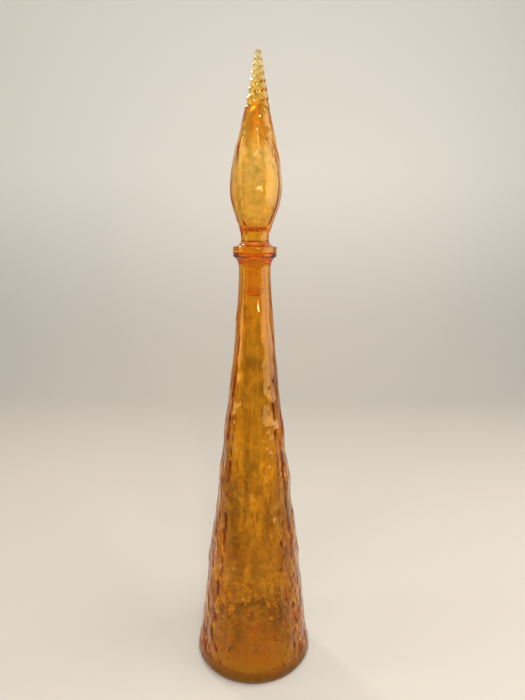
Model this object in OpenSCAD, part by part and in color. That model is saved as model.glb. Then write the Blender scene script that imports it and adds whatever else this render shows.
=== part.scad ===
// Tall cone-shaped glass bottle with a hollow flame-shaped glass stopper.
// The stopper's stem carries a soft ribbed sleeve that seals it in the neck.
// Millimetres, +Z up, origin at the centre of the base where it stands.

/* [Bottle] */
// Height of the bottle without its stopper
bottle_h = 393.5; // [385:0.5:405]
// Widest diameter, just above the heel
base_d = 112; // [106:1:118]
// Rounding where the side turns under to the base
heel_round = 7; // [5:0.5:9]
// Diameter of the neck under the lip
neck_d = 28.4; // [27:0.2:31]
// Diameter of the lip
lip_d = 39; // [37:0.5:42]
// Thickness of the lip at its rim
lip_t = 3; // [2.4:0.2:4]
// Height of the taper from the neck out to the lip
finish_h = 10; // [8:0.5:13]
// Diameter of the bore that the stopper goes into
bore_d = 18.6; // [18.4:0.1:19.4]
// Thickness of the wall low down
wall_t = 4.6; // [3:0.1:5.4]
// Thickness of the floor at its edge
floor_t = 6; // [5:0.5:10]
// Radius of the hollow under the base
punt_r = 33; // [26:1:38]
// Depth of the hollow under the base
punt_h = 3; // [2:0.5:4]

/* [Stopper] */
// Height of the stopper above the bottle
stopper_h = 166.5; // [160:0.5:172]
// Widest diameter of the hollow bulb
bulb_d = 44.8; // [42:0.2:48]
// Height of the widest part above the bottle
bulb_z = 57.5; // [54:0.5:61]
// Diameter of the waist between the collar and the bulb
waist_d = 24.6; // [23:0.2:27]
// Height of the waist above the bottle
waist_z = 12.5; // [11.5:0.5:14]
// Diameter of the collar
collar_d = 39; // [37:0.5:42]
// Thickness of the collar at its rim
collar_t = 6; // [5:0.2:7]
// Radius of the rounded tip
tip_r = 2.3; // [1.6:0.1:3]
// Thickness of the bulb's wall at its widest
bulb_wall = 3.4; // [2.6:0.2:4.4]
// Length of the solid tip above the hollow
tip_solid = 42.5; // [36:0.5:50]
// Height of the hollow's floor above the bottle
hollow_z = 18.5; // [17:0.5:21]
// Diameter of the stem
stem_d = 15.4; // [14.8:0.1:15.8]
// Length of the stem below the collar
stem_l = 37.5; // [35:0.5:40]

/* [Sleeve] */
// Length of the sleeve
sleeve_l = 29.6; // [24:0.4:31.2]
// Gap between the lip's top face and the sleeve
sleeve_drop = 2.5; // [2:0.5:4]
// Thickness of the sleeve between its ribs
sleeve_wall = 0.8; // [0.6:0.1:1]
// Number of ribs round the sleeve
rib_count = 8; // [4:1:9]
// Thickness of a rib at its root
rib_t = 1; // [0.8:0.1:1.2]

/* [Hidden] */
$fn = 96;
glass_colour = [0.84, 0.50, 0.10, 0.75];
sleeve_colour = [0.93, 0.90, 0.82, 0.6];

side_steps = 26;   // straight pieces along a long curve
curve_steps = 14;  // straight pieces along a short curve
arc_steps = 8;     // straight pieces round a small corner
edge_round = 1;    // rounding of the lip, the mouth and the collar

base_r = base_d / 2;
neck_r = neck_d / 2;
lip_r = lip_d / 2;
bore_r = bore_d / 2;
neck_top_z = bottle_h - lip_t - finish_h;  // where the neck starts to widen to the lip
neck_l = 8;                                // length of the neck's straight part
side_lean = 7.3;                           // degrees that the side leans in above the heel
neck_lean = 3.2;                           // degrees that it leans in where it meets the neck
side_pull = 0.6;                           // how far up the side keeps its lean
neck_pull = 0.2;                           // how far down the neck's lean is kept
bore_l = 32;                               // length of the bore's straight part
shoulder_l = 44;                           // from there down to where the inside is a plain cone
shoulder_r = 13.6;                         // radius inside at that place
inner_corner = 7;                          // rounding between the inner wall and the floor

stem_r = stem_d / 2;
collar_r = collar_d / 2;
waist_r = waist_d / 2;
bulb_r = bulb_d / 2;
stem_end_round = 4;                        // rounding of the stem's lower end
stem_root = 0.8;                           // bevel between the stem and the collar
hollow_foot_r = 6.2;                       // radius of the hollow's floor
hollow_top_r = 2.6;                        // radius of the hollow's rounded top

fit_gap = 0.05;                            // between the stem and the sleeve
rib_gap = 0.08;                            // between the ribs and the bore

// Points along a curve from p0 to p3 that p1 and p2 pull on, p0 left out
function curve(p0, p1, p2, p3, steps) = [
    for (i = [1 : steps])
        let (t = i / steps, s = 1 - t)
        s * s * s * p0 + 3 * s * s * t * p1 + 3 * s * t * t * p2 + t * t * t * p3
];

// Points round an arc from angle a to angle b
function arc(centre, r, a, b) = [
    for (i = [0 : arc_steps])
        let (angle = a + (b - a) * i / arc_steps)
        centre + r * [cos(angle), sin(angle)]
];

// Hollow under the base, a shallow cap of a large ball, from the axis outwards
function punt() =
    let (ball = (punt_r * punt_r + punt_h * punt_h) / (2 * punt_h))
    arc([0, punt_h - ball], ball, 90, 90 - asin(punt_r / ball));

// Outside of the bottle from the base up to the rim of the lip
function outer_side() =
    let (
        heel = [base_r - heel_round, heel_round],
        foot = heel + heel_round * [cos(side_lean), sin(side_lean)],
        top = [neck_r, neck_top_z - neck_l],
        rise = top.y - foot.y,
        rim = [lip_r - 0.4, bottle_h - lip_t]
    )
    concat(
        arc(heel, heel_round, -90, side_lean),
        curve(foot, foot + side_pull * rise * [-tan(side_lean), 1],
              top + neck_pull * rise * [tan(neck_lean), -1], top, side_steps),
        curve([neck_r, neck_top_z], [neck_r, neck_top_z + 0.4 * finish_h],
              rim - [3.6, 1.5], rim, curve_steps),
        arc([lip_r - edge_round, bottle_h - edge_round], edge_round, 0, 90)
    );

// Inside of the bottle from the mouth down to the middle of the floor
function inner_side() =
    let (
        bore_foot = [bore_r, bottle_h - bore_l],
        shoulder = [shoulder_r, bore_foot.y - shoulder_l],
        floor_r = base_r - wall_t - 1.5,
        corner_top = [floor_r, floor_t + inner_corner],
        corner_end = [floor_r - inner_corner, floor_t]
    )
    concat(
        arc([bore_r + edge_round, bottle_h - edge_round], edge_round, 90, 180),
        [bore_foot],
        curve(bore_foot, bore_foot - [0, 14], shoulder + [-1.8, 15], shoulder, curve_steps),
        [corner_top],
        curve(corner_top, corner_top + [0.4, -4], corner_end + [4, 0.2], corner_end, curve_steps),
        [[0, floor_t + punt_h / 2]]
    );

module bottle() {
    color(glass_colour)
    rotate_extrude()
    polygon(concat(punt(), outer_side(), inner_side()));
}

// Outside of the stopper from the end of its stem, round the collar and up to its tip
module stopper_outline() {
    seat = bottle_h;
    rim_top = seat + collar_t;
    waist = [waist_r, seat + waist_z];
    widest = [bulb_r, seat + bulb_z];
    tip_ball = [0, seat + stopper_h - tip_r];
    flame_l = tip_ball.y - widest.y;
    polygon(concat(
        [[0, seat - stem_l]],
        arc([stem_r - stem_end_round, seat - stem_l + stem_end_round], stem_end_round, -90, 0),
        [[stem_r, seat - stem_root], [stem_r + stem_root, seat]],
        arc([collar_r - edge_round, seat + edge_round], edge_round, -90, 0),
        arc([collar_r - edge_round, rim_top - edge_round], edge_round, 0, 90),
        curve([collar_r - 1.4, rim_top], [collar_r - 5, rim_top + 0.8],
              waist + [0.3, -4], waist, curve_steps),
        curve(waist, waist + [0, 13], widest - [0, 23], widest, side_steps),
        curve(widest, widest + [0, 0.224 * flame_l], widest + [-0.576 * bulb_r, 0.533 * flame_l],
              tip_ball + [tip_r, 0], side_steps),
        arc(tip_ball, tip_r, 0, 90)
    ));
}

// Closed hollow inside the bulb
module hollow_outline() {
    foot = [hollow_foot_r, bottle_h + hollow_z + 1.5];
    widest = [bulb_r - bulb_wall, bottle_h + bulb_z + 2];
    top_ball = [0, bottle_h + stopper_h - tip_solid - hollow_top_r];
    polygon(concat(
        [[0, bottle_h + hollow_z], foot],
        curve(foot, foot + [3.8, 3], widest - [0, 25], widest, side_steps),
        curve(widest, widest + [0, 21], top_ball + [0.342 * widest.x, -15],
              top_ball + [hollow_top_r, 0], side_steps),
        arc(top_ball, hollow_top_r, 0, 90)
    ));
}

module stopper() {
    color(glass_colour)
    difference() {
        rotate_extrude()
        stopper_outline();
        rotate_extrude()
        hollow_outline();
    }
}

// Soft sleeve on the stem, with thin ribs that point up and grip the bore
module stopper_sleeve() {
    top = bottle_h - sleeve_drop;
    inner = stem_r + fit_gap;
    outer = inner + sleeve_wall;
    rib_r = bore_r - rib_gap;
    pitch = sleeve_l / rib_count;
    ribs = [
        for (i = [0 : rib_count - 1])
            let (z = top - sleeve_l + (i + 0.5) * pitch)
            each [[outer, z - rib_t / 2], [rib_r, z], [rib_r, z + rib_t / 2], [outer, z + rib_t]]
    ];
    color(sleeve_colour)
    rotate_extrude()
    polygon(concat(
        [[inner, top - sleeve_l], [outer, top - sleeve_l]],
        ribs,
        [[outer, top], [inner, top]]
    ));
}

bottle();
stopper();
stopper_sleeve();
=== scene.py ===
import math
import random

import bpy
from mathutils import Matrix, Quaternion, Vector, noise
from mathutils.bvhtree import BVHTree


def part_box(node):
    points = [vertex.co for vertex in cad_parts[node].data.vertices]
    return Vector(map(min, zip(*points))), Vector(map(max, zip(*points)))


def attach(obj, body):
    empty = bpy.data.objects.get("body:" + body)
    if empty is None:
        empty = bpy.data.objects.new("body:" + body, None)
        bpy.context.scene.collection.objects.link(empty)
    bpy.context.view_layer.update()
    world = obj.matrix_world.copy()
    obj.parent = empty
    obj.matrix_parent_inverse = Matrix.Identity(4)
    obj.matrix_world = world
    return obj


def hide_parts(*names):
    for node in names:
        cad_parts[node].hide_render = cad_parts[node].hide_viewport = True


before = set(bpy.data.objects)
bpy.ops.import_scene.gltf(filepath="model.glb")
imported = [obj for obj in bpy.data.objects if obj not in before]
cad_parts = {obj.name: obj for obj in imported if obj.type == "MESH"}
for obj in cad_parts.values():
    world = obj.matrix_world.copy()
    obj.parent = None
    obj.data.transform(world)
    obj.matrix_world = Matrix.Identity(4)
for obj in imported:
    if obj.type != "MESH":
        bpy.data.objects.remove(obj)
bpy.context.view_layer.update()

mm = 0.001
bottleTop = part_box("bottle")[1].z / mm           # the lip, where the stopper's collar rests
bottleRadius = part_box("bottle")[1].x / mm
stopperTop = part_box("stopper")[1].z / mm
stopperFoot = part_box("stopper")[0].z / mm
print("frame loaded, bottle", round(bottleTop), "mm tall, stopper up to", round(stopperTop), "mm")


# Helpers for lines and meshes

def deselectAll():
    if bpy.context.mode != "OBJECT":
        bpy.ops.object.mode_set(mode="OBJECT")
    bpy.ops.object.select_all(action="DESELECT")


def ramp(value, low, high):
    # 0 below low, 1 above high, smooth between, and the other way round if low is the higher
    t = min(max((value - low) / (high - low), 0), 1)
    return t * t * (3 - 2 * t)


def curvePoints(p0, p1, p2, p3, steps):
    # along a curve from p0 to p3 that p1 and p2 pull on, p0 left out
    points = []
    for i in range(1, steps + 1):
        t = i / steps
        s = 1 - t
        points.append([s ** 3 * a + 3 * s * s * t * b + 3 * s * t * t * c + t ** 3 * d
                       for a, b, c, d in zip(p0, p1, p2, p3)])
    return points


def arcPoints(centre, radius, start, end, steps):
    points = []
    for i in range(steps + 1):
        angle = math.radians(start + (end - start) * i / steps)
        points.append([centre[0] + radius * math.cos(angle), centre[1] + radius * math.sin(angle)])
    return points


def evenPoints(points, spacing):
    # the same line with its points spread evenly along it, the first one left out
    hair = 1e-9
    ways = [0.0]
    for here, there in zip(points, points[1:]):
        ways.append(ways[-1] + math.dist(here, there))
    count = max(1, round(ways[-1] / spacing))
    even = []
    k = 0
    for i in range(1, count + 1):
        way = ways[-1] * i / count
        while ways[k + 1] < way - hair:
            k += 1
        share = (way - ways[k]) / (ways[k + 1] - ways[k])
        even.append([a + (b - a) * share for a, b in zip(points[k], points[k + 1])])
    return even


def spinOutline(name, outline, steps):
    # one vertex, drawn out along the outline point by point and spun round the axis
    weldGap = 0.004
    deselectAll()
    r, z = outline[0]
    bpy.ops.mesh.primitive_plane_add(size=mm, location=(r * mm, 0, z * mm))
    piece = bpy.context.object
    piece.name = piece.data.name = name
    bpy.ops.object.mode_set(mode="EDIT")
    bpy.ops.mesh.select_all(action="SELECT")
    bpy.ops.mesh.merge(type="CENTER")
    for here, there in zip(outline, outline[1:]):
        step = ((there[0] - here[0]) * mm, 0, (there[1] - here[1]) * mm)
        bpy.ops.mesh.extrude_region_move(TRANSFORM_OT_translate={"value": step})
    bpy.ops.mesh.select_all(action="SELECT")
    bpy.ops.mesh.spin(steps=steps, angle=math.tau, center=(0, 0, 0), axis=(0, 0, 1))
    bpy.ops.mesh.select_all(action="SELECT")
    bpy.ops.mesh.remove_doubles(threshold=weldGap * mm)
    bpy.ops.mesh.normals_make_consistent(inside=False)
    bpy.ops.object.mode_set(mode="OBJECT")
    bpy.ops.object.transform_apply(location=True, rotation=True, scale=True)
    bpy.ops.object.shade_smooth()
    return piece


def joinInto(piece, others):
    deselectAll()
    for other in others + [piece]:
        other.select_set(True)
    bpy.context.view_layer.objects.active = piece
    bpy.ops.object.join()


def applyModifier(piece, modifier):
    deselectAll()
    piece.select_set(True)
    bpy.context.view_layer.objects.active = piece
    bpy.ops.object.modifier_apply(modifier=modifier.name)


def weigh(piece, name, weightAt):
    # a vertex group whose weight comes from each vertex's place and normal
    least = 0.002
    group = piece.vertex_groups.new(name=name)
    for vertex in piece.data.vertices:
        weight = weightAt(vertex.co / mm, vertex.normal)
        if weight > least:
            group.add([vertex.index], weight, "REPLACE")
    return group.name


def displace(piece, kind, grain, depth, group, stretch=1.0, middle=0.5, **settings):
    # pushes the surface along its normals by a clouds or cell pattern with this grain
    texture = bpy.data.textures.new(kind.lower(), kind)
    texture.noise_scale = grain * mm
    for name, value in settings.items():
        setattr(texture, name, value)
    guide = bpy.data.objects.new("guide", None)
    bpy.context.collection.objects.link(guide)
    guide.scale = (1, 1, stretch)
    bpy.context.view_layer.update()
    change = piece.modifiers.new("relief", "DISPLACE")
    change.texture = texture
    change.texture_coords = "OBJECT"
    change.texture_coords_object = guide
    change.strength = depth * mm
    change.mid_level = middle
    change.vertex_group = group
    applyModifier(piece, change)
    bpy.data.objects.remove(guide)
    bpy.data.textures.remove(texture)


# Helpers for materials

def hexToLinear(code):
    channels = [int(code[i:i + 2], 16) / 255 for i in (1, 3, 5)]
    return [c / 12.92 if c <= 0.04045 else ((c + 0.055) / 1.055) ** 2.4 for c in channels]


def emptyMaterial(name):
    material = bpy.data.materials.new(name)
    material.use_nodes = True
    material.node_tree.nodes.clear()
    return material


def addNode(tree, kind, settings=None, **links):
    # one node, with its settings by name and its inputs as numbers, colours or other nodes' outputs
    node = tree.nodes.new(kind)
    for name, value in (settings or {}).items():
        setattr(node, name, value)
    for name, value in links.items():
        name = name.replace("_", " ")
        socket = node.inputs[int(name[2:])] if name.startswith("in") else node.inputs[name]
        if isinstance(value, bpy.types.NodeSocket):
            tree.links.new(value, socket)
        else:
            socket.default_value = value
    return node


def maths(tree, operation, *values, clamp=False):
    inputs = {"in" + str(i): value for i, value in enumerate(values)}
    node = addNode(tree, "ShaderNodeMath", {"operation": operation, "use_clamp": clamp}, **inputs)
    return node.outputs["Value"]


def vectorMaths(tree, operation, *values):
    inputs = {"in" + str(i): value for i, value in enumerate(values)}
    node = addNode(tree, "ShaderNodeVectorMath", {"operation": operation}, **inputs)
    return node.outputs["Vector"]


def spread(tree, value, low, high, toLow, toHigh):
    # a value from low to high brought smoothly to toLow to toHigh
    node = addNode(tree, "ShaderNodeMapRange", {"interpolation_type": "SMOOTHSTEP"}, Value=value)
    for name, number in zip(("From Min", "From Max", "To Min", "To Max"), (low, high, toLow, toHigh)):
        node.inputs[name].default_value = number
    return node.outputs["Result"]


def distanceRamp(tree, distance, low, high):
    # 0 at low and 1 at high, both in millimetres
    return spread(tree, distance, low * mm, high * mm, 0, 1)


def softNoise(tree, place, size, detail, flat=1.0, roughness=0.5):
    # noise with lumps of this size, drawn out upright where flat is under 1
    drawn = addNode(tree, "ShaderNodeMapping", Vector=place, Scale=(1, 1, flat)).outputs["Vector"]
    return addNode(tree, "ShaderNodeTexNoise", Vector=drawn, Scale=1 / (size * mm), Detail=detail,
                   Roughness=roughness).outputs["Fac"]


def colourRamp(tree, value, stops):
    # colours at rising positions from 0 to 1, blended between
    node = addNode(tree, "ShaderNodeValToRGB", Fac=value)
    marks = node.color_ramp.elements
    for position, colour in stops[1:-1]:
        marks.new(position).color = (*colour, 1)
    marks[0].color = (*stops[0][1], 1)
    marks[len(marks) - 1].color = (*stops[-1][1], 1)
    return node.outputs["Color"]


def seenRays(tree):
    # 1 for rays that the camera sends out, straight, by reflection or through glass
    rays = addNode(tree, "ShaderNodeLightPath")
    seen = maths(tree, "MAXIMUM", rays.outputs["Is Camera Ray"], rays.outputs["Is Glossy Ray"])
    return maths(tree, "MAXIMUM", seen, rays.outputs["Is Transmission Ray"])


# Bottle: blown into a mould with a hammered surface, then finished by hand at the lip

bottle = {
    "heelRound": 7.0,
    "neckRadius": 14.2, "neckLength": 8.0,
    "lipRadius": 19.5, "lipThick": 3.0, "lipBevel": 0.4,
    "finishHeight": 10.0,                 # the taper from the neck out to the lip
    "finishRise": 0.4, "lipPull": (3.6, 1.5),
    "edgeRound": 1.0,
    "boreRadius": 9.3, "boreLength": 32.0,
    "shoulderRadius": 13.6, "shoulderLength": 44.0,
    "borePull": 14.0, "shoulderPull": (1.8, 15.0),
    "wall": 4.6, "wallTaper": 1.5,
    "floor": 6.0, "innerCorner": 7.0,
    "cornerPull": ((0.4, -4), (4, 0.2)),
    "puntRadius": 33.0, "puntDepth": 3.0,
    "sideLean": 7.3, "neckLean": 3.2,     # degrees, above the heel and at the neck
    "sidePull": 0.6, "neckPull": 0.2,
    "around": 216,
    "grain": 1.45,                        # spacing of the rings of faces up the side
    "neckGrain": 2.0, "insideGrain": 4.0, "innerWallGrain": 4.4,
    "edgeSteps": 4, "heelSteps": 8, "puntSteps": 10, "curveSteps": 12, "shoulderSteps": 14, "sideSteps": 200,
}


def bottleOutside(b):
    edge = b["edgeRound"]
    neckTop = bottleTop - b["lipThick"] - b["finishHeight"]
    ball = (b["puntRadius"] ** 2 + b["puntDepth"] ** 2) / (2 * b["puntDepth"])
    puntAngle = math.degrees(math.asin(b["puntRadius"] / ball))
    points = arcPoints([0, b["puntDepth"] - ball], ball, 90, 90 - puntAngle, b["puntSteps"])

    lean = math.radians(b["sideLean"])
    heel = [bottleRadius - b["heelRound"], b["heelRound"]]
    foot = [heel[0] + b["heelRound"] * math.cos(lean), heel[1] + b["heelRound"] * math.sin(lean)]
    neck = [b["neckRadius"], neckTop - b["neckLength"]]
    footPull = b["sidePull"] * (neck[1] - foot[1])
    neckPull = b["neckPull"] * (neck[1] - foot[1])
    points += arcPoints(heel, b["heelRound"], -90, b["sideLean"], b["heelSteps"])
    side = curvePoints(foot, [foot[0] - footPull * math.tan(lean), foot[1] + footPull],
                       [neck[0] + neckPull * math.tan(math.radians(b["neckLean"])), neck[1] - neckPull],
                       neck, b["sideSteps"])
    points += evenPoints([foot] + side, b["grain"])

    rim = [b["lipRadius"] - b["lipBevel"], bottleTop - b["lipThick"]]
    points += evenPoints([neck, [b["neckRadius"], neckTop]], b["neckGrain"])
    points += curvePoints([b["neckRadius"], neckTop],
                          [b["neckRadius"], neckTop + b["finishRise"] * b["finishHeight"]],
                          [rim[0] - b["lipPull"][0], rim[1] - b["lipPull"][1]], rim, b["curveSteps"])
    return points + arcPoints([b["lipRadius"] - edge, bottleTop - edge], edge, 0, 90, b["edgeSteps"])


def bottleInside(b):
    edge = b["edgeRound"]
    bore = b["boreRadius"]
    boreFoot = [bore, bottleTop - b["boreLength"]]
    shoulder = [b["shoulderRadius"], boreFoot[1] - b["shoulderLength"]]
    floorRadius = bottleRadius - b["wall"] - b["wallTaper"]
    cornerTop = [floorRadius, b["floor"] + b["innerCorner"]]
    cornerEnd = [floorRadius - b["innerCorner"], b["floor"]]
    topPull, endPull = b["cornerPull"]
    points = arcPoints([bore + edge, bottleTop - edge], edge, 90, 180, b["edgeSteps"])
    points += evenPoints([[bore, bottleTop - edge], boreFoot], b["insideGrain"])
    points += curvePoints(boreFoot, [bore, boreFoot[1] - b["borePull"]],
                          [shoulder[0] - b["shoulderPull"][0], shoulder[1] + b["shoulderPull"][1]],
                          shoulder, b["shoulderSteps"])
    points += evenPoints([shoulder, cornerTop], b["innerWallGrain"])
    points += curvePoints(cornerTop, [cornerTop[0] + topPull[0], cornerTop[1] + topPull[1]],
                          [cornerEnd[0] + endPull[0], cornerEnd[1] + endPull[1]], cornerEnd, b["curveSteps"])
    return points + evenPoints([cornerEnd, [0, b["floor"] + b["puntDepth"] / 2]], b["insideGrain"])


# Pairs of heights are where a pattern fades in or out
hammering = {
    "lumpSize": 30.0, "lumpDepth": 1.3, "lumpStretch": 1.7, "lumpInside": -0.9,
    "dimpleSize": 12.0, "dimpleDepth": 1.9, "dimpleStretch": 1.9, "dimpleMiddle": 0.3,
    "dimpleStrong": (300, 240), "dimpleLeast": 0.5,
    "crackleSize": 5.5, "crackleDepth": 0.7, "crackleStretch": 1.2,
    "crackleStrong": (230, 120), "crackleLeast": 0.3, "crackleTop": (340, 290), "crackleFoot": (3, 14),
    "top": (372, 335), "foot": (3, 16),
    "insideTop": (345, 300), "insideFoot": (12, 40),
    "softening": 0.5, "softenings": 2,
}

streaks = {
    "lowest": 12.0, "highest": 356.0, "narrowest": 1.0,
    "across": 5.0, "along": 70.0, "depth": 1.0,
    "top": (356, 300), "foot": (12, 40),
    # one thick upright cord in the wall, its width and its places in radians from the front
    "cordDepth": 0.9, "cordWidth": 0.16, "cordFade": 30.0,
    "cordTop": 300.0, "cordFoot": 95.0, "cordFrom": -0.20, "cordTo": -0.38,
    # a short level crease on the right
    "creaseDepth": 0.35, "creaseAt": 242.0, "creaseWidth": 1.3,
    "creaseStart": (-0.05, 0.1), "creaseEnd": (0.9, 0.6),
    # how far the real side stands out from the plain curve, by height
    "waves": [(14, 0.0), (28, -1.1), (45, -0.8), (55, -0.7), (75, -0.3), (94, -0.4), (124, 0.8), (145, 0.1),
              (163, -0.7), (190, 0.7), (209, -0.2), (230, 0.7), (255, 0.0)],
}

seeds = {
    "draw": 4, "tries": 46,
    "low": 40.0, "high": 330.0,
    "least": 0.22, "most": 0.55,             # radius
    "roundest": 1.1, "tallest": 1.9,         # height over width
    "room": 4.0, "cover": 0.8,               # a seed needs a wall of 4 times its radius and 0.8 mm
    "seen": [(0.22, 279.0), (0.0, 274.0)],   # angle from the front and height of the ones in plain sight
}


def facesOut(place, normal):
    # true on the outside of the bottle's wall, where the normal points well away from the axis
    least = 0.5
    hair = 1e-6
    return normal.x * place.x + normal.y * place.y > least * max(math.hypot(place.x, place.y), hair)


def hammerBottle(piece, h):
    def sideWeight(place, normal):
        return ramp(place.z, *h["top"]) * ramp(place.z, *h["foot"]) if facesOut(place, normal) else 0

    def dimpleWeight(place, normal):
        strong = h["dimpleLeast"] + (1 - h["dimpleLeast"]) * ramp(place.z, *h["dimpleStrong"])
        return strong * sideWeight(place, normal)

    def crackleWeight(place, normal):
        strong = h["crackleLeast"] + (1 - h["crackleLeast"]) * ramp(place.z, *h["crackleStrong"])
        fade = ramp(place.z, *h["crackleTop"]) * ramp(place.z, *h["crackleFoot"])
        return strong * fade if facesOut(place, normal) else 0

    def insideWeight(place, normal):
        fade = ramp(place.z, *h["insideTop"]) * ramp(place.z, *h["insideFoot"])
        return 0 if facesOut(place, normal) else fade

    side = weigh(piece, "side", sideWeight)
    dimpled = weigh(piece, "hammered", dimpleWeight)
    crackled = weigh(piece, "crackled", crackleWeight)
    inner = weigh(piece, "inner", insideWeight)
    lumps = h["lumpDepth"]
    displace(piece, "CLOUDS", h["lumpSize"], lumps, side, h["lumpStretch"], noise_depth=1)
    displace(piece, "CLOUDS", h["lumpSize"], lumps * h["lumpInside"], inner, h["lumpStretch"], noise_depth=1)
    displace(piece, "VORONOI", h["dimpleSize"], h["dimpleDepth"], dimpled, h["dimpleStretch"],
             h["dimpleMiddle"], distance_metric="DISTANCE_SQUARED")
    displace(piece, "CLOUDS", h["crackleSize"], h["crackleDepth"], crackled, h["crackleStretch"],
             noise_depth=2, noise_basis="VORONOI_F2_F1")
    soften = piece.modifiers.new("soften", "SMOOTH")
    soften.factor = h["softening"]
    soften.iterations = h["softenings"]
    soften.vertex_group = side
    applyModifier(piece, soften)


def waveAt(z, waves):
    if z <= waves[0][0] or z >= waves[-1][0]:
        return 0.0
    for (z0, w0), (z1, w1) in zip(waves, waves[1:]):
        if z <= z1:
            return w0 + (w1 - w0) * ramp(z, z0, z1)


def outsideStreak(x, y, z, s):
    turn = math.atan2(x, -y)
    here = ramp(turn, *s["creaseStart"]) * ramp(turn, *s["creaseEnd"])
    crease = s["creaseDepth"] * math.exp(-((z - s["creaseAt"]) / s["creaseWidth"]) ** 2) * here
    return waveAt(z, s["waves"]) + crease


def insideStreak(x, y, z, s):
    # upright streaks of thick and thin glass left by blowing, and the cord
    radius = math.hypot(x, y)
    around = Vector((x / radius, y / radius, 0)) * s["across"]
    around.z = z / s["along"]
    change = s["depth"] * noise.noise(around) * ramp(z, *s["top"])
    share = (s["cordTop"] - z) / (s["cordTop"] - s["cordFoot"])
    away = math.atan2(x, -y) - (s["cordFrom"] + (s["cordTo"] - s["cordFrom"]) * share)
    here = ramp(z, s["cordTop"], s["cordTop"] - s["cordFade"])
    here *= ramp(z, s["cordFoot"] - s["cordFade"], s["cordFoot"])
    change -= s["cordDepth"] * here * math.exp(-(away / s["cordWidth"]) ** 2)
    return change * ramp(z, *s["foot"])


def streakBottle(piece, s):
    normals = [Vector(vertex.normal) for vertex in piece.data.vertices]    # read before any vertex moves
    for vertex, normal in zip(piece.data.vertices, normals):
        x, y, z = vertex.co / mm
        radius = math.hypot(x, y)
        if radius < s["narrowest"] or z < s["lowest"] or z > s["highest"]:
            continue
        streak = outsideStreak if facesOut(Vector((x, y, z)), normal) else insideStreak
        grow = (radius + streak(x, y, z, s)) / radius
        vertex.co.x = x * grow * mm
        vertex.co.y = y * grow * mm
    piece.data.update()


def addSeeds(piece, s):
    # small bubbles caught in the wall: closed hollows that face inwards, where the wall is thick enough
    deselectAll()
    bpy.ops.mesh.primitive_ico_sphere_add(subdivisions=2, radius=mm)
    bpy.ops.object.shade_smooth()
    first = bpy.context.object
    first.data.flip_normals()
    wall = BVHTree.FromObject(piece, bpy.context.evaluated_depsgraph_get())
    spots = random.Random(s["draw"])
    nudge = 0.05 * mm
    made = []
    for i in range(s["tries"]):
        angle = spots.uniform(0, math.tau)
        z = spots.uniform(s["low"], s["high"])
        size = spots.uniform(s["least"], s["most"])
        tall = spots.uniform(s["roundest"], s["tallest"])
        if i < len(s["seen"]):
            angle, z = s["seen"][i]
        out = Vector((math.sin(angle), -math.cos(angle), 0))
        inner = wall.ray_cast(Vector((0, 0, z * mm)), out)[0]
        outer = wall.ray_cast(inner + out * nudge, out)[0] if inner else None
        if outer is None or (outer - inner).length / mm < s["room"] * size + s["cover"]:
            continue
        seed = bpy.data.objects.new("seed", first.data.copy())
        bpy.context.collection.objects.link(seed)
        seed.data.transform(Matrix.LocRotScale((inner + outer) / 2, None, Vector((size, size, size * tall))))
        made.append(seed)
    bpy.data.objects.remove(first)
    joinInto(piece, made)
    print("seeds in the glass:", len(made))


bottleGlass = spinOutline("bottle_glass", bottleOutside(bottle) + bottleInside(bottle), bottle["around"])
hammerBottle(bottleGlass, hammering)
streakBottle(bottleGlass, streaks)
addSeeds(bottleGlass, seeds)
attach(bottleGlass, "bottle")
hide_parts("bottle")
print("bottle made,", len(bottleGlass.data.polygons), "faces")


# Stopper: the stem, the collar and a blown bulb with soft upright ribs, drawn out and twisted at the tip

stopper = {
    "stemRadius": 7.7, "stemEndRound": 4.0, "stemBevel": 0.8, "stemDimple": 0.25,
    "collarRadius": 19.5, "collarThick": 6.0, "collarRound": 1.0, "collarShelf": 1.4,
    "collarPull": (3.6, 0.8), "waistPull": (0.3, 4.0),
    "waistRadius": 12.3, "waistHeight": 12.5, "waistRise": 13.0,
    "bulbRadius": 22.4, "bulbHeight": 57.5, "bulbDrop": 23.0,
    "flameRise": 0.224, "tipPull": (0.424, 0.533),     # shares of the bulb's radius and the flame's height
    "tipRadius": 2.3,
    "stemGrain": 3.0, "bulbGrain": 1.5, "flameGrain": 0.9,
    "stemSteps": 8, "roundSteps": 6, "collarSteps": 14, "bulbSteps": 60, "flameSteps": 120,
    "around": 168,
}

hollow = {
    "floor": 18.5, "footRadius": 6.2, "footRise": 1.5, "footPull": (3.8, 3.0),
    "bulbWall": 3.4, "above": 2.0, "drop": 25.0, "rise": 21.0,
    "tipSolid": 42.5, "topRadius": 2.6, "topPull": (0.342, 15.0),
    "lowSteps": 24, "highSteps": 30, "roundSteps": 6,
    "around": 88,
}


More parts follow.
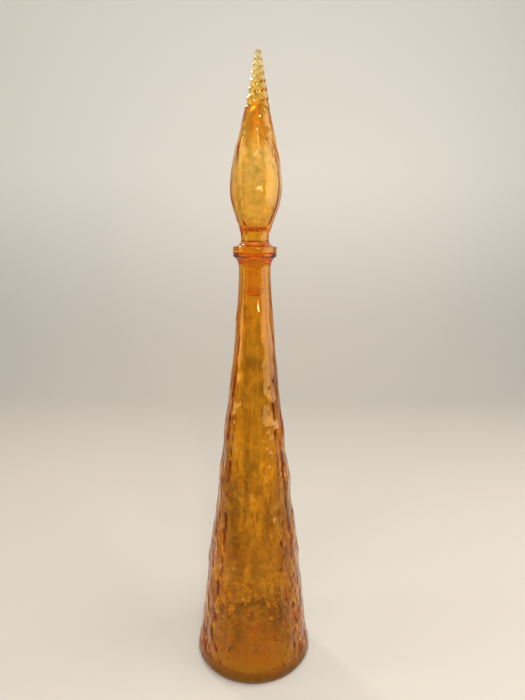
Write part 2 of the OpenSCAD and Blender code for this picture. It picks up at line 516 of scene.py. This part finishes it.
def stopperOutline(s):
    seat = bottleTop
    rimTop = seat + s["collarThick"]
    stem = s["stemRadius"]
    collar = s["collarRadius"]
    rounding = s["collarRound"]
    stemEnd = stopperFoot + s["stemEndRound"]
    waist = [s["waistRadius"], seat + s["waistHeight"]]
    widest = [s["bulbRadius"], seat + s["bulbHeight"]]
    tipBall = [0, stopperTop - s["tipRadius"]]
    flameLength = tipBall[1] - widest[1]
    points = [[0, stopperFoot], [stem * s["stemDimple"], stopperFoot]]
    points += arcPoints([stem - s["stemEndRound"], stemEnd], s["stemEndRound"], -90, 0, s["stemSteps"])
    points += evenPoints([[stem, stemEnd], [stem, seat - s["stemBevel"]]], s["stemGrain"])
    points += [[stem + s["stemBevel"], seat]]
    points += arcPoints([collar - rounding, seat + rounding], rounding, -90, 0, s["roundSteps"])
    points += arcPoints([collar - rounding, rimTop - rounding], rounding, 0, 90, s["roundSteps"])
    shelf = [collar - s["collarShelf"], rimTop]
    points += curvePoints(shelf, [shelf[0] - s["collarPull"][0], rimTop + s["collarPull"][1]],
                          [waist[0] + s["waistPull"][0], waist[1] - s["waistPull"][1]],
                          waist, s["collarSteps"])
    bulb = curvePoints(waist, [waist[0], waist[1] + s["waistRise"]], [widest[0], widest[1] - s["bulbDrop"]],
                       widest, s["bulbSteps"])
    points += evenPoints([waist] + bulb, s["bulbGrain"])
    drawn = curvePoints(widest, [widest[0], widest[1] + s["flameRise"] * flameLength],
                        [s["tipPull"][0] * widest[0], widest[1] + s["tipPull"][1] * flameLength],
                        [s["tipRadius"], tipBall[1]], s["flameSteps"])
    points += evenPoints([widest] + drawn, s["flameGrain"])
    return points + arcPoints(tipBall, s["tipRadius"], 0, 90, s["roundSteps"])[1:]


def hollowOutline(s, h):
    foot = [h["footRadius"], bottleTop + h["floor"] + h["footRise"]]
    widest = [s["bulbRadius"] - h["bulbWall"], bottleTop + s["bulbHeight"] + h["above"]]
    topBall = [0, stopperTop - h["tipSolid"] - h["topRadius"]]
    points = [[0, bottleTop + h["floor"]], foot]
    points += curvePoints(foot, [foot[0] + h["footPull"][0], foot[1] + h["footPull"][1]],
                          [widest[0], widest[1] - h["drop"]], widest, h["lowSteps"])
    points += curvePoints(widest, [widest[0], widest[1] + h["rise"]],
                          [h["topPull"][0] * widest[0], topBall[1] - h["topPull"][1]],
                          [h["topRadius"], topBall[1]], h["highSteps"])
    return points + arcPoints(topBall, h["topRadius"], 0, 90, h["roundSteps"])[1:]


# Pairs are heights above the bottle where a pattern fades in or out
flame = {
    "lowest": 6.2, "narrowest": 0.01,
    "lean": 0.0155, "leanFrom": 12.0,   # sideways over height, as the hand-drawn flame leans
    "ribs": 11, "ribDepth": 0.28, "ribShare": 0.8, "ribShareInside": 0.6,
    "ribFoot": (10, 20), "ribTop": (125, 75),
    "swirl": 0.9, "swirlRise": (60, 130),
    # the strands keep about the same slope as the tip narrows
    "ropeStarts": 4, "ropeTurn": 10.1, "ropeFine": 5.5, "ropeBase": 10.0, "ropeRise": (115, 128),
    "ropeDepth": 0.4, "ropeGrowth": 0.08, "ropeRest": 0.3, "ropeFull": 2.0,
    "flowSize": 9.0, "flowDepth": 0.55, "flowInside": 1.2, "flowStretch": 0.55, "flowRise": (10, 30),
    "fleckSize": 3.2, "fleckDepth": 0.20, "fleckStretch": 0.7, "fleckLeast": 0.5, "fleckRise": (50, 90),
    "fleckFull": 3.0,
}


def shapeFlame(piece, f, inside):
    # optic ribs that turn into a rope at the tip, the unevenness of blowing and the lean of the flame
    for vertex in piece.data.vertices:
        x, y, z = vertex.co / mm
        radius = math.hypot(x, y)
        angle = math.atan2(y, x)
        height = z - bottleTop
        if height < f["lowest"] or radius < f["narrowest"]:
            continue
        ribs = f["ribDepth"] * ramp(height, *f["ribFoot"]) * ramp(height, *f["ribTop"])
        swirl = f["swirl"] * ramp(height, *f["swirlRise"])
        share = f["ribShareInside"] if inside else f["ribShare"]
        change = share * ribs * math.cos(f["ribs"] * (angle + swirl))
        rope = ramp(height, *f["ropeRise"]) * min(1, radius / f["ropeFull"])
        turn = -f["ropeTurn"] * math.log(f["ropeFine"] * radius + f["ropeBase"])
        lobes = 2 * abs(math.cos(f["ropeStarts"] * (angle + turn) / 2)) - 1
        change += (f["ropeDepth"] + f["ropeGrowth"] * radius) * rope * (lobes - f["ropeRest"])
        flow = noise.noise(Vector((x, y, f["flowStretch"] * z)) / f["flowSize"])
        flow *= f["flowInside"] if inside else 1
        change += f["flowDepth"] * flow * ramp(height, *f["flowRise"])
        fleck = noise.noise(Vector((x, y, f["fleckStretch"] * z)) / f["fleckSize"])
        strong = f["fleckLeast"] + (1 - f["fleckLeast"]) * ramp(height, *f["fleckRise"])
        change += f["fleckDepth"] * fleck * strong * min(1, radius / f["fleckFull"])
        grow = (radius + change) / radius
        vertex.co.x = x * grow * mm + f["lean"] * max(0, height - f["leanFrom"]) * mm
        vertex.co.y = y * grow * mm


stopperGlass = spinOutline("stopper_glass", stopperOutline(stopper), stopper["around"])
shapeFlame(stopperGlass, flame, False)
bulbHollow = spinOutline("hollow", hollowOutline(stopper, hollow), hollow["around"])
shapeFlame(bulbHollow, flame, True)
bulbHollow.data.flip_normals()                    # it bounds the glass from within
joinInto(stopperGlass, [bulbHollow])
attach(stopperGlass, "stopper")
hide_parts("stopper")
print("stopper made,", len(stopperGlass.data.polygons), "faces")


# Amber glass: soda-lime glass coloured in the melt

glass = {
    # clear but for its colour, so the absorption inside turns thick places from gold to deep orange
    "ior": 1.52,
    "tint": "#FFE6C4",
    "shine": "#FFD690",              # reflections, golden as in warm light
    "rippleSize": 2.2, "rippleFlat": 0.6, "rippleDetail": 3.0, "rippleRough": 0.55,
}

# The bottle's glass: pitted by the mould and uneven in the wall, so it looks crumpled and streaky
hammeredGlass = {
    "name": "amber soda glass, blown in a hammered mould",
    "absorbs": "#FDEF00", "density": 440.0,
    "roughness": 0.01, "rippleDepth": 0.05,
    "pitSize": 6.0, "pitDepth": 1.2, "pitSmooth": 0.6, "pitsFade": (360, 150),
    "warpSize": 9.0, "warpWidth": 4.0,
    # share of the tint's brightness by height, painted shade: darkest a quarter of the way up, full at the
    # foot and the neck
    "shades": [(0, 1.0), (56, 0.80), (92, 0.72), (125, 0.74), (170, 0.76), (245, 0.88), (330, 1.0),
               (400, 1.0)],
    # streaks, patches and crumples: size, darkest, brightest, upright stretch and detail
    "unevenness": [(10.0, 0.76, 1.22, 0.12, 2.0), (24.0, 0.82, 1.14, 0.6, 2.0), (7.0, 0.84, 1.22, 0.7, 5.0)],
    "unevenFrom": 0.35, "unevenTo": 0.65,
    # painted highlights: golden specks in a band low on the body, standing in for glints
    "fleckSize": 4.0, "fleckDetail": 3.0, "fleckRough": 0.6,
    "fleckGain": 2.0, "fleckFrom": 0.55, "fleckTo": 0.63,
    "flecksIn": (28, 42), "flecksOut": (130, 90),
    # painted light: the neck and a pool over the floor kept at full brightness
    "clearNeck": (338, 352), "clearFloor": (44, 26),
    "heelShade": 0.28, "heelReach": (45, 52), "heelHeight": (16, 8),       # light stays caught in the heel
    "shadeWarms": ((0, 0.12, 0.5), (1, 0.88, 0.5)),                        # dark places lose their blue first
}

# The stopper's glass: free blown, so it ripples. The stem and collar are deepest, the drawn tip almost clear,
# its pale tint partly painted highlight
blownGlass = {
    "name": "amber soda glass, free blown",
    "absorbs": "#FDEA40", "density": 150.0,
    "roughness": 0.0, "rippleDepth": 0.14, "pitDepth": 0.0,
    # tints by height above the bottle, between the first at the stem's end and the last at the tip; the
    # near-white tip is partly painted highlight
    "tints": [(-37.5, "#FFD07C"), (26, "#FFE0A0"), (84, "#FFEAC0"), (110, "#FFD48A"), (123, "#FFD48A"),
              (130, "#FFF6E6"), (166.5, "#FFFCF6")],
    # painted light and shade: random darker patches copying the bulb's patchy highlights
    "mottleSize": 7.0, "mottleDetail": 4.0, "mottleRough": 0.6,
    "mottleFrom": 0.38, "mottleTo": 0.62, "mottleLow": 0.78, "mottleHigh": 1.7,
}


def wallColour(tree, place, g):
    height = addNode(tree, "ShaderNodeSeparateXYZ", Vector=place).outputs["Z"]
    top = g["shades"][-1][0]
    stops = [(z / top, (share, share, share)) for z, share in g["shades"]]
    # painted shade: the tint darkened by height, most a quarter of the way up
    shade = colourRamp(tree, maths(tree, "DIVIDE", height, top * mm), stops)
    for size, darkest, brightest, flat, detail in g["unevenness"]:
        lumps = softNoise(tree, place, size, detail, flat)
        lumps = spread(tree, lumps, g["unevenFrom"], g["unevenTo"], darkest, brightest)
        shade = maths(tree, "MULTIPLY", shade, lumps)

    # painted highlights: bright golden specks in a band low on the body
    paintedGlints = softNoise(tree, place, g["fleckSize"], g["fleckDetail"], roughness=g["fleckRough"])
    band = maths(tree, "MULTIPLY", distanceRamp(tree, height, *g["flecksIn"]),
                 distanceRamp(tree, height, *g["flecksOut"]))
    gain = spread(tree, paintedGlints, g["fleckFrom"], g["fleckTo"], 0, g["fleckGain"] - 1)
    shade = maths(tree, "MULTIPLY", shade, maths(tree, "MULTIPLY_ADD", band, gain, 1.0))
    # painted light: the neck and a pool of light over the floor, no darkening there
    for part in ("clearNeck", "clearFloor"):
        shade = maths(tree, "MAXIMUM", shade, distanceRamp(tree, height, *g[part]))

    # painted shade: the heel darkened, where light stays caught in the glass
    across = vectorMaths(tree, "MULTIPLY", place, (1, 1, 0))
    radius = addNode(tree, "ShaderNodeVectorMath", {"operation": "LENGTH"}, in0=across).outputs["Value"]
    atHeel = maths(tree, "MULTIPLY", distanceRamp(tree, radius, *g["heelReach"]),
                   distanceRamp(tree, height, *g["heelHeight"]))
    heel = maths(tree, "MULTIPLY_ADD", atHeel, g["heelShade"] - 1, 1.0)
    shade = maths(tree, "MULTIPLY", shade, heel, clamp=True)
    warm = vectorMaths(tree, "MULTIPLY_ADD", shade, *g["shadeWarms"])
    dark = vectorMaths(tree, "MULTIPLY", shade, warm)
    return vectorMaths(tree, "MULTIPLY", dark, hexToLinear(glass["tint"]))


def stopperColour(tree, place, g):
    height = addNode(tree, "ShaderNodeSeparateXYZ", Vector=place).outputs["Z"]
    share = addNode(tree, "ShaderNodeMapRange", Value=height)
    share.inputs["From Min"].default_value = stopperFoot * mm
    share.inputs["From Max"].default_value = stopperTop * mm
    whole = stopperTop - stopperFoot
    stops = [((bottleTop + z - stopperFoot) / whole, hexToLinear(code)) for z, code in g["tints"]]
    # the near-white tip is partly painted highlight
    tint = colourRamp(tree, share.outputs["Result"], stops)
    # painted shade in random patches, copying the bulb's patchy highlights
    mottle = softNoise(tree, place, g["mottleSize"], g["mottleDetail"], roughness=g["mottleRough"])
    mottle = spread(tree, mottle, g["mottleFrom"], g["mottleTo"], g["mottleLow"], g["mottleHigh"])
    return vectorMaths(tree, "MULTIPLY", tint, maths(tree, "MINIMUM", mottle, 1.0))


def mouldPits(tree, place, ripples, g):
    # shallow pits with crooked edges, deep low down and gone at the neck
    flat = vectorMaths(tree, "MULTIPLY", place, (1, 1, glass["rippleFlat"]))
    warp = addNode(tree, "ShaderNodeTexNoise", Vector=flat, Scale=1 / (g["warpSize"] * mm)).outputs["Color"]
    warped = vectorMaths(tree, "MULTIPLY_ADD", warp, (g["warpWidth"] * mm,) * 3, flat)
    pits = addNode(tree, "ShaderNodeTexVoronoi", {"feature": "SMOOTH_F1"}, Vector=warped,
                   Scale=1 / (g["pitSize"] * mm), Smoothness=g["pitSmooth"])
    height = addNode(tree, "ShaderNodeSeparateXYZ", Vector=place).outputs["Z"]
    return addNode(tree, "ShaderNodeBump", Height=pits.outputs["Distance"], Distance=g["pitDepth"] * mm,
                   Strength=distanceRamp(tree, height, *g["pitsFade"]), Normal=ripples).outputs["Normal"]


def amberGlass(g, colourOf):
    material = emptyMaterial(g["name"])
    tree = material.node_tree
    place = addNode(tree, "ShaderNodeTexCoord").outputs["Object"]
    ripples = softNoise(tree, place, glass["rippleSize"], glass["rippleDetail"], glass["rippleFlat"],
                        glass["rippleRough"])
    surface = addNode(tree, "ShaderNodeBump", Height=ripples, Strength=1.0,
                      Distance=g["rippleDepth"] * mm).outputs["Normal"]
    if g["pitDepth"]:
        surface = mouldPits(tree, place, surface, g)
    shader = addNode(tree, "ShaderNodeBsdfPrincipled", Normal=surface, Base_Color=colourOf(tree, place, g))
    shader.inputs["Transmission Weight"].default_value = 1.0
    shader.inputs["Specular Tint"].default_value = (*hexToLinear(glass["shine"]), 1)
    shader.inputs["IOR"].default_value = glass["ior"]
    shader.inputs["Roughness"].default_value = g["roughness"]
    depth = addNode(tree, "ShaderNodeVolumeAbsorption")
    depth.inputs["Color"].default_value = (*hexToLinear(g["absorbs"]), 1)
    depth.inputs["Density"].default_value = g["density"]
    addNode(tree, "ShaderNodeOutputMaterial", Surface=shader.outputs["BSDF"], Volume=depth.outputs["Volume"])
    return material


bottleGlass.data.materials.append(amberGlass(hammeredGlass, wallColour))
stopperGlass.data.materials.append(amberGlass(blownGlass, stopperColour))
print("glass coloured")


# Sleeve: low-density polyethylene, injection moulded. It looks milky and softly shiny, and its warm colour is
# painted amber light from the glass around it

polyethylene = {
    # painted light: the warm colour stands in for amber light from the glass around it
    "colour": "#FBE6BE",
    "clearness": 0.2,
    "ior": 1.5,
    "hazeSize": 1.2, "hazeDetail": 2.0,
    "smooth": 0.35, "dull": 0.55,    # roughness
}


def clearPolyethylene(p):
    material = emptyMaterial("clear polyethylene, injection moulded")
    tree = material.node_tree
    place = addNode(tree, "ShaderNodeTexCoord").outputs["Object"]
    rough = addNode(tree, "ShaderNodeMapRange", Value=softNoise(tree, place, p["hazeSize"], p["hazeDetail"]))
    rough.inputs["To Min"].default_value = p["smooth"]
    rough.inputs["To Max"].default_value = p["dull"]
    shader = addNode(tree, "ShaderNodeBsdfPrincipled", Roughness=rough.outputs["Result"])
    shader.inputs["Base Color"].default_value = (*hexToLinear(p["colour"]), 1)
    shader.inputs["Transmission Weight"].default_value = p["clearness"]
    shader.inputs["IOR"].default_value = p["ior"]
    addNode(tree, "ShaderNodeOutputMaterial", Surface=shader.outputs["BSDF"])
    return material


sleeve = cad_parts["stopper_sleeve"]
sleeve.data.materials.clear()
sleeve.data.materials.append(clearPolyethylene(polyethylene))
print("sleeve finished")


# Stage: a pale floor that sweeps up into a pale backdrop. Its sizes are in metres

stage = {
    "floorWidth": 10.0,
    "front": -3.0, "back": 1.5,
    "height": 2.6,
    "sweep": 0.6, "sweepSteps": 24,
    "floorColour": "#A8A49D",
    "backdropColour": "#C8C5BF",
    "blendHeight": 0.75,
    "glow": 0.55,                    # share of its brightness that the paper keeps in shade
    "roughness": 0.9, "shine": 0.1,
}


def palePaper(s):
    material = emptyMaterial("pale paper")
    tree = material.node_tree
    place = addNode(tree, "ShaderNodeTexCoord").outputs["Object"]
    height = addNode(tree, "ShaderNodeSeparateXYZ", Vector=place).outputs["Z"]
    rise = spread(tree, height, 0, s["blendHeight"], 0, 1)
    stops = [(0, hexToLinear(s["floorColour"])), (1, hexToLinear(s["backdropColour"]))]
    colour = colourRamp(tree, rise, stops)
    shader = addNode(tree, "ShaderNodeBsdfPrincipled", Base_Color=colour, Emission_Color=colour,
                     Emission_Strength=maths(tree, "MULTIPLY", seenRays(tree), s["glow"]))
    shader.inputs["Roughness"].default_value = s["roughness"]
    shader.inputs["Specular IOR Level"].default_value = s["shine"]
    addNode(tree, "ShaderNodeOutputMaterial", Surface=shader.outputs["BSDF"])
    return material


def paleSweep(s):
    deselectAll()
    bpy.ops.mesh.primitive_plane_add(size=1, location=(0, (s["front"] + s["back"]) / 2, 0))
    sweep = bpy.context.object
    sweep.name = "sweep"
    sweep.scale = (s["floorWidth"], s["back"] - s["front"], 1)
    bpy.ops.object.transform_apply(location=True, rotation=True, scale=True)
    for edge in sweep.data.edges:
        edge.select = all(sweep.data.vertices[v].co.y > 0 for v in edge.vertices)
    for vertex in sweep.data.vertices:
        vertex.select = vertex.co.y > 0
    for face in sweep.data.polygons:
        face.select = False
    bpy.ops.object.mode_set(mode="EDIT")
    bpy.ops.mesh.extrude_region_move(TRANSFORM_OT_translate={"value": (0, 0, s["height"])})
    bpy.ops.object.mode_set(mode="OBJECT")
    for vertex in sweep.data.vertices:
        vertex.select = vertex.co.y > 0 and vertex.co.z < s["height"] / 2
    bpy.ops.object.mode_set(mode="EDIT")
    bpy.ops.mesh.bevel(offset=s["sweep"], segments=s["sweepSteps"], affect="EDGES")
    bpy.ops.object.mode_set(mode="OBJECT")
    bpy.ops.object.shade_smooth()
    sweep.data.materials.append(palePaper(s))


# Place, target, width and height in metres, brightness of its face where 1 is white, tint, and whether
# it is seen through glass
lamps = {
    "right softbox": ((0.95, -0.25, 0.62), (0, 0, 0.54), 1.2, 1.0, 4.4, "#FFF4E6", False),
    "left softbox": ((-0.98, -0.15, 0.64), (0, 0, 0.56), 0.25, 0.9, 5.0, "#FFDCA8", True),
    "front lamp": ((0.15, -0.95, 1.15), (0, 0, 0.30), 0.10, 0.10, 165.0, "#FFFAF2", True),
    "low front lamp": ((0.42, -1.10, 0.50), (0, 0, 0.25), 0.07, 0.07, 110.0, "#FFFAF2", True),
    "left front lamp": ((-0.55, -1.00, 0.65), (0, 0, 0.20), 0.07, 0.07, 110.0, "#FFFAF2", True),
    "top softbox": ((0.0, -0.70, 1.60), (0, 0, 0.3), 0.8, 0.3, 6.5, "#FFFFFF", True),
    "crown lamp": ((0.05, -0.12, 1.35), (0, 0, 0.4), 0.12, 0.12, 40.0, "#FFFAF2", True),
    "back softbox": ((0.0, 0.60, 1.30), (0, 0, 0.3), 0.8, 0.4, 2.2, "#FFFFFF", True),
    "back spot": ((-0.45, 0.55, 1.10), (0, 0, 0.15), 0.10, 0.10, 120.0, "#FFF2E0", True),
}


def softbox(name, place, target, width, height, brightness, tint, seenThrough):
    lamp = bpy.data.lights.new(name, "AREA")
    lamp.shape = "RECTANGLE"
    lamp.size = width
    lamp.size_y = height
    lamp.energy = brightness * math.pi * width * height
    lamp.color = hexToLinear(tint)
    holder = bpy.data.objects.new(name, lamp)
    bpy.context.collection.objects.link(holder)
    holder.visible_transmission = seenThrough
    holder.location = place
    holder.rotation_euler = (Vector(target) - Vector(place)).to_track_quat("-Z", "Y").to_euler()


room = {
    "colour": "#EDEAE6",
    "light": 0.25,                   # what it gives to matt surfaces
    "seen": 0.60,                    # what the camera and the glass see of it
}


def softRoom(r):
    world = bpy.data.worlds.new("soft studio")
    bpy.context.scene.world = world
    world.use_nodes = True
    tree = world.node_tree
    tree.nodes.clear()
    strength = maths(tree, "MULTIPLY_ADD", seenRays(tree), r["seen"] - r["light"], r["light"])
    glow = addNode(tree, "ShaderNodeBackground", Color=(*hexToLinear(r["colour"]), 1), Strength=strength)
    addNode(tree, "ShaderNodeOutputWorld", Surface=glow.outputs["Background"])


# Camera: a phone held level with the collar, close to the bottle, looking a little down

camera = {
    "distance": 0.4782,              # metres from the bottle's axis
    "height": 0.3965,
    "focalPixels": 530,              # in a frame of 525 by 700 pixels
    "frameLong": 700,
    "sensor": 36.0,
    "nearest": 0.01,
    "pitch": 10.68,                  # degrees down
    "yaw": 0.87,                     # degrees to the right
    "roll": 0.3,
}


def aimCamera(c):
    data = bpy.data.cameras.new("camera")
    data.sensor_width = c["sensor"]
    data.lens = c["focalPixels"] * c["sensor"] / c["frameLong"]
    data.clip_start = c["nearest"]
    view = bpy.data.objects.new("camera", data)
    bpy.context.collection.objects.link(view)
    view.location = (0, -c["distance"], c["height"])
    view.rotation_mode = "QUATERNION"
    pitch, yaw, roll = (math.radians(c[k]) for k in ("pitch", "yaw", "roll"))
    ahead = Vector((math.sin(yaw) * math.cos(pitch), math.cos(yaw) * math.cos(pitch), -math.sin(pitch)))
    view.rotation_quaternion = ahead.to_track_quat("-Z", "Y") @ Quaternion((0, 0, 1), roll)
    bpy.context.scene.camera = view


paleSweep(stage)
for lampName, settings in lamps.items():
    softbox(lampName, *settings)
softRoom(room)
aimCamera(camera)

bounces = 32                                      # light crosses up to sixteen glass faces in the neck
scene = bpy.context.scene
scene.view_settings.view_transform = "Standard"
scene.cycles.max_bounces = bounces
scene.cycles.transmission_bounces = bounces
scene.cycles.glossy_bounces = bounces             # reflections inside the wall count as glossy
print("stage, lights and camera set")
